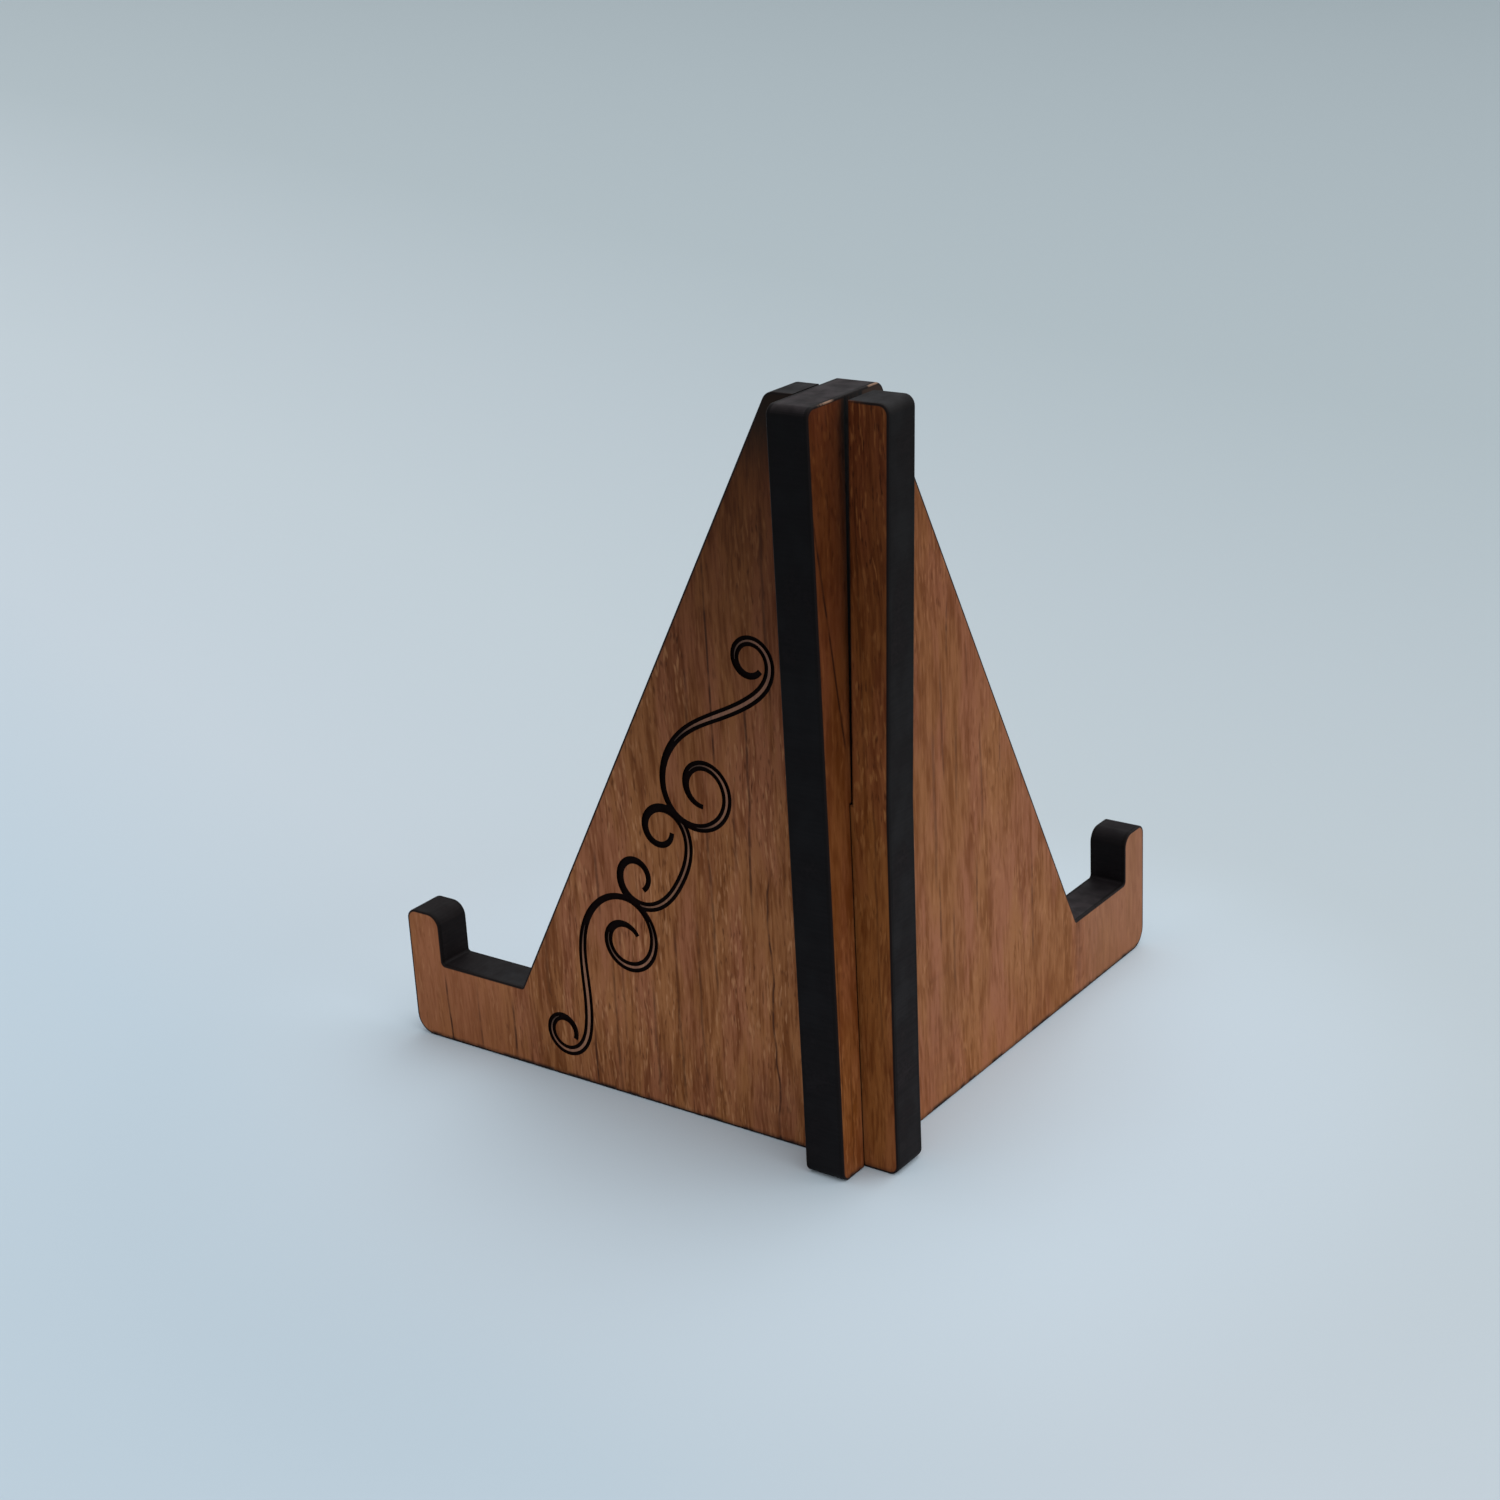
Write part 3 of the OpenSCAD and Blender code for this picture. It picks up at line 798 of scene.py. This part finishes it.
C_STRIPS = (0.3, 0.32, 0.2, -0.3, -0.4, -0.4)
SCROLL_STEP = 0.4
STRIP_TIP = 0.05


def spread(values, share):
    """The value at a share of a length that the values are evenly spaced along."""
    at = share * (len(values) - 1)
    first = min(int(at), len(values) - 2)
    return values[first] + (values[first + 1] - values[first]) * (at - first)


def scroll_line(start, heading, length, bends, widths, strips):
    """Points (x, y, ribbon width, strip width) along a scroll that bends by degrees a millimetre."""
    count = math.ceil(length / SCROLL_STEP)
    step = length / count
    x, y = start
    facing = math.radians(heading)
    points = [(x, y, widths[0], strips[0])]
    for i in range(count):
        turn = math.radians(step * spread(bends, (i + 0.5) / count))
        x += step * math.cos(facing + turn / 2)
        y += step * math.sin(facing + turn / 2)
        facing += turn
        share = (i + 1) / count
        points.append((x, y, spread(widths, share), spread(strips, share)))
    return points


def mirrored(points):
    """The same scroll mirrored across the ornament's middle."""
    return [(-x, y, width, strip) for x, y, width, strip in points]


def turned(points):
    """The scroll turned to lie along the slant."""
    c = math.cos(ORNAMENT_ANGLE)
    s = math.sin(ORNAMENT_ANGLE)
    return [(x * c - y * s, x * s + y * c, width, strip) for x, y, width, strip in points]


def ribbon(name, points, column, low, high):
    """A standing ribbon as wide as a column of its points says, between two depths in the board."""
    count = len(points)
    bpy.ops.object.select_all(action="DESELECT")
    bpy.ops.mesh.primitive_grid_add(x_subdivisions=count - 1, y_subdivisions=1, size=2)
    piece = bpy.context.object
    piece.name = name
    for vertex in piece.data.vertices:
        index = round((vertex.co.x + 1) / 2 * (count - 1))
        side = 1 if vertex.co.y > 0 else -1
        before = points[max(index - 1, 0)]
        after = points[min(index + 1, count - 1)]
        along = Vector((after[0] - before[0], after[1] - before[1])).normalized()
        reach = side * points[index][column] / 2
        forward = points[index][0] - along.y * reach
        up = points[index][1] + along.x * reach
        vertex.co = Vector((forward, low, up)) * MM
    edit(piece)
    bpy.ops.mesh.select_all(action="SELECT")
    bpy.ops.mesh.extrude_region_move(TRANSFORM_OT_translate={"value": (0, (high - low) * MM, 0)})
    bpy.ops.mesh.select_all(action="SELECT")
    bpy.ops.mesh.normals_make_consistent(inside=False)
    done()
    return piece


def bare_runs(points):
    """The stretches of a scroll that keep a bare strip, as (first, last)."""
    bare = [point[3] > STRIP_TIP for point in points]
    starts = [i for i in range(1, len(points)) if bare[i] and not bare[i - 1]]
    ends = [i - 1 for i in range(1, len(points)) if bare[i - 1] and not bare[i]]
    return list(zip(starts, ends))


def engrave(piece, points):
    """Burns one scroll into the outer veneer, round its bare strips."""
    surface = HALF_BOARD
    cutter = ribbon("scroll_cut", points, 2, surface - LINE_DEPTH, surface + 1)
    for first, last in bare_runs(points):
        strip = ribbon("bare_strip", points[first:last + 1], 3, surface - LINE_DEPTH - 1, surface + 2)
        carve(cutter, strip)
    carve(piece, cutter)


s_scroll = scroll_line(S_START, S_HEADING, S_LENGTH, S_BENDS, S_WIDTHS, S_STRIPS)
c_half = scroll_line((0, 0), 0, C_HALF_LENGTH, C_BENDS, C_WIDTHS, C_STRIPS)
drawing = [turned(s_scroll), turned(mirrored(s_scroll)), turned(mirrored(c_half)[:0:-1] + c_half)]
drawn_low = [min(p[i] - p[2] / 2 for points in drawing for p in points) for i in (0, 1)]
drawn_high = [max(p[i] + p[2] / 2 for points in drawing for p in points) for i in (0, 1)]
stretch = [(ORNAMENT_HIGH[i] - ORNAMENT_LOW[i]) / (drawn_high[i] - drawn_low[i]) for i in (0, 1)]

scroll_outer = scroll_panel_layer("scroll_outer_veneer", CORE / 2, HALF_BOARD)
merge_flat(scroll_outer)
ease_face(scroll_outer, SCROLL_OUTSIDE)
placed = [[(ORNAMENT_LOW[0] + (x - drawn_low[0]) * stretch[0],
            ORNAMENT_LOW[1] + (y - drawn_low[1]) * stretch[1], width, strip)
           for x, y, width, strip in points] for points in drawing]
for points in placed:
    engrave(scroll_outer, points)

# The burning smokes a strip through where it is narrow, and tints it where it is wide.
NARROW_STRIP = 0.15
WIDE_STRIP = 0.4
LEAST_SMOKE = 0.35


def smoke_strips(piece, outside, scrolls):
    """Marks how far the bare strips, which only the grooves' walls touch, are smoked."""
    smoke = piece.data.attributes.new("smoke", "FLOAT", "POINT")
    along = [point for points in scrolls for point in points if point[3] > STRIP_TIP]
    mesh = bmesh.new()
    mesh.from_mesh(piece.data)
    for face in mesh.faces:
        neighbours = [other for edge in face.edges for other in edge.link_faces if other is not face]
        walled = all(abs(other.normal.y) < 0.1 for other in neighbours)
        on_surface = face.calc_center_median().y * outside / MM > HALF_BOARD - 0.01
        if not (walled and on_surface and face.normal.y * outside > 0.999):
            continue
        for vertex in face.verts:
            at = Vector((vertex.co.x, vertex.co.z)) / MM
            nearest = min(along, key=lambda point: (at - Vector(point[:2])).length)
            wide = min(max((nearest[3] - NARROW_STRIP) / (WIDE_STRIP - NARROW_STRIP), 0), 1)
            smoke.data[vertex.index].value = 1 - (1 - LEAST_SMOKE) * wide
    mesh.free()


smoke_strips(scroll_outer, SCROLL_OUTSIDE, placed)

# Tones hold the grain, the painted shade low down and high up, and the lip. The strip holds its painted
# shade.
SCROLL_TONES = (
    srgb(161, 104, 71), srgb(120, 67, 35), srgb(238, 236, 230), srgb(143, 126, 101), srgb(168, 104, 67))
SCROLL_STRIP = (srgb(224, 211, 178), srgb(175, 151, 122), 50)
SCROLL_GRAIN = (0.65, 1, 130)
SCROLL_LINES = (
    (75.2, -4, 13, 0.03, 0.3, 0.6, 0.9), (69.0, -4, 13, 0.0, 0.3, 0.6, 0.5),
    (61.8, -4, 12, 0.0, 0.35, 0.8, 0.8), (54.0, 12, 30, 0.0, 0.5, 1.2, 0.35),
    (45.5, -4, 12, 0.0, 0.28, 0.8, 0.8), (41.0, -2, 24, 0.0, 0.35, 1.4, 0.5),
    (42.8, 27, 42, 0.0, 0.4, 0.8, 0.6), (39.2, 8, 30, 0.0, 0.35, 1.2, 0.35),
    (33.5, 0, 22, 0.0, 0.4, 1.4, 0.5), (28.8, 0, 32, 0.0, 0.35, 1.4, 0.55),
    (24.5, 3, 35, 0.0, 0.35, 1.8, 0.5), (21.6, 20, 50, 0.0, 0.35, 1.2, 0.6),
    (19.7, 56, 90, 0.0, 0.28, 0.6, 0.8), (14.4, 34, 70, -0.015, 0.32, 1.2, 0.75),
    (11.8, -4, 44, -0.01, 0.28, 3.2, 0.85), (16.7, 40, 58, 0.0, 0.35, 1.0, 0.4),
    (9.6, 66, 96, 0.01, 0.4, 1.2, 0.5), (24.0, 58, 74, 0.0, 0.4, 1.0, 0.4),
    (12.0, -4, 12, 0.0, 6.0, 0.5, 0.22), (-5.6, 60, 104, 0.0, 0.25, 1.0, 0.4),
    (-6.8, 20, 60, 0.0, 0.25, 1.2, 0.4))
scroll_outer_wood = wood_material(
    "scroll_outer_wood", SCROLL_TURN, False, SCROLL_TONES, SCROLL_STRIP, SCROLL_GRAIN, SCROLL_LINES, ())
# The burnt lines are dull and brownish.
ENGRAVING_CHAR = (srgb(13, 4, 3), srgb(27, 14, 13), srgb(27, 14, 13))
ENGRAVING_WEAR = 0.5
ENGRAVING_SPECULAR = 0.03
engraving_char = char_material(
    "engraving_char", SCROLL_TURN, ENGRAVING_WEAR, ENGRAVING_CHAR, ENGRAVING_SPECULAR)
finish_veneer(scroll_outer, SCROLL_OUTSIDE, scroll_outer_wood, scroll_veneer_char)
scroll_outer.data.materials.append(engraving_char)
for face in scroll_outer.data.polygons:
    corners = [scroll_outer.data.vertices[index].co for index in face.vertices]
    deepest = max(HALF_BOARD - corner.y * SCROLL_OUTSIDE / MM for corner in corners)
    if face.material_index == 1 and deepest < LINE_DEPTH + 0.01:
        face.material_index = 2
stand_up(scroll_outer, SCROLL_TURN, "scroll_panel", "scroll_panel_outer_veneer")

# ---------------------------------------------------------------------------------------------
# Floor, light and camera.
# The stand is on a plain pale floor under soft daylight that comes mostly from one side.
FLOOR_SIZE = 24
FLOOR_DROP = 0.00002
# The floor greys away behind the stand on a slant: painted shade where the light falls off.
# The turn is in degrees, and the lengths in metres.
FLOOR_TURN = 170.5
FLOOR_SLANT = 1.6
FLOOR_START = 0.2
FLOOR_RUN = 3.4
FLOOR_STOPS = (
    (0.12, srgb(193, 209, 220)), (0.22, srgb(199, 210, 218)), (0.32, srgb(195, 206, 212)),
    (0.40, srgb(188, 199, 205)), (0.51, srgb(176, 188, 193)), (0.64, srgb(170, 182, 187)),
    (0.80, srgb(162, 174, 179)), (0.98, srgb(150, 163, 168)))
FLOOR_DIM = srgb(70, 76, 80)
FLOOR_PAINTED_LIGHT = srgb(206, 220, 230)
bpy.ops.object.select_all(action="DESELECT")
bpy.ops.mesh.primitive_circle_add(
    vertices=96, radius=FLOOR_SIZE / 2, fill_type="NGON", location=(0, 0, -FLOOR_DROP))
floor = bpy.context.object
floor.name = "floor"
bpy.ops.object.transform_apply(location=True, rotation=True, scale=True)
floor_paint = bpy.data.materials.new("pale_floor")
floor_paint.use_nodes = True
floor_tree = floor_paint.node_tree
floor_shader = floor_tree.nodes["Principled BSDF"]
floor_shader.inputs["Roughness"].default_value = 0.9
floor_shader.inputs["Specular IOR Level"].default_value = 0.1
floor_place = floor_tree.nodes.new("ShaderNodeTexCoord")
floor_turn = add_node(floor_tree, "ShaderNodeMapping", vector_type="TEXTURE")
floor_turn.inputs["Rotation"].default_value = (0, 0, math.radians(FLOOR_TURN))
floor_split = floor_tree.nodes.new("ShaderNodeSeparateXYZ")
link(floor_tree,
     (floor_place.outputs["Object"], floor_turn.inputs["Vector"]),
     (floor_turn.outputs["Vector"], floor_split.inputs[0]))
floor_run = math_node(
    floor_tree, "MULTIPLY_ADD", floor_split.outputs["X"], FLOOR_SLANT, floor_split.outputs["Y"])
floor_run = math_node(floor_tree, "ADD", floor_run, FLOOR_START)
floor_run = math_node(floor_tree, "DIVIDE", floor_run, FLOOR_RUN, clamp=True)
floor_run = math_node(floor_tree, "SQRT", floor_run)
floor_ramp = floor_tree.nodes.new("ShaderNodeValToRGB")
floor_stops = floor_ramp.color_ramp.elements
for index, (position, colour) in enumerate(FLOOR_STOPS):
    stop = floor_stops[index] if index < 2 else floor_stops.new(position)
    stop.position = position
    stop.color = colour
floor_tree.links.new(floor_run, floor_ramp.inputs["Fac"])
floor_reach = add_node(floor_tree, "ShaderNodeVectorMath", operation="LENGTH")
floor_rays = floor_tree.nodes.new("ShaderNodeLightPath")
floor_tree.links.new(floor_place.outputs["Object"], floor_reach.inputs[0])
# It is a little paler under the stand, painted light against the stand's own shadow,
# and away from it throws less light back up at it than it shows.
painted_light_share = soft_step(floor_tree, floor_reach.outputs["Value"], 0.05, 0.11, 1.0, 0.0)
floor_colour = blend_colours(floor_tree, painted_light_share, floor_ramp.outputs["Color"], FLOOR_PAINTED_LIGHT)
dim_share = soft_step(floor_tree, floor_reach.outputs["Value"], 0.06, 0.3)
dim_share = math_node(floor_tree, "MULTIPLY", dim_share, floor_rays.outputs["Is Diffuse Ray"])
floor_colour = blend_colours(floor_tree, dim_share, floor_colour, FLOOR_DIM)
floor_tree.links.new(floor_colour, floor_shader.inputs["Base Color"])
floor.data.materials.append(floor_paint)

SKY_COLOUR = srgb(246, 249, 252)
SKY_STRENGTH = 0.68
world = bpy.data.worlds.new("daylight")
bpy.context.scene.world = world
world.use_nodes = True
sky = world.node_tree.nodes["Background"]
sky.inputs["Color"].default_value = SKY_COLOUR
sky.inputs["Strength"].default_value = SKY_STRENGTH

WINDOW_SPREAD = 110
WINDOW_STRENGTH = 1.6
WINDOW_PLACE = (-0.9, 0.0, 0.9)
key_data = bpy.data.lights.new("window", "SUN")
key_data.angle = math.radians(WINDOW_SPREAD)
key_data.energy = WINDOW_STRENGTH
key = bpy.data.objects.new("window", key_data)
bpy.context.scene.collection.objects.link(key)
key.location = WINDOW_PLACE
key.rotation_euler = (Vector((0, 0, 0)) - key.location).to_track_quat("-Z", "Y").to_euler()

CAMERA_LENS = 61.96
CAMERA_SENSOR = 36
CAMERA_PLACE = (0.06116, 0.34798, 0.18817)
CAMERA_TURN = (69.10, 2.94, 170.34)
camera_data = bpy.data.cameras.new("camera")
camera_data.lens = CAMERA_LENS
camera_data.sensor_width = CAMERA_SENSOR
camera_data.clip_start = 0.01
camera_data.clip_end = 50
camera = bpy.data.objects.new("camera", camera_data)
bpy.context.scene.collection.objects.link(camera)
camera.location = CAMERA_PLACE
camera.rotation_euler = [math.radians(angle) for angle in CAMERA_TURN]
bpy.context.scene.camera = camera
bpy.context.scene.view_settings.view_transform = "Standard"
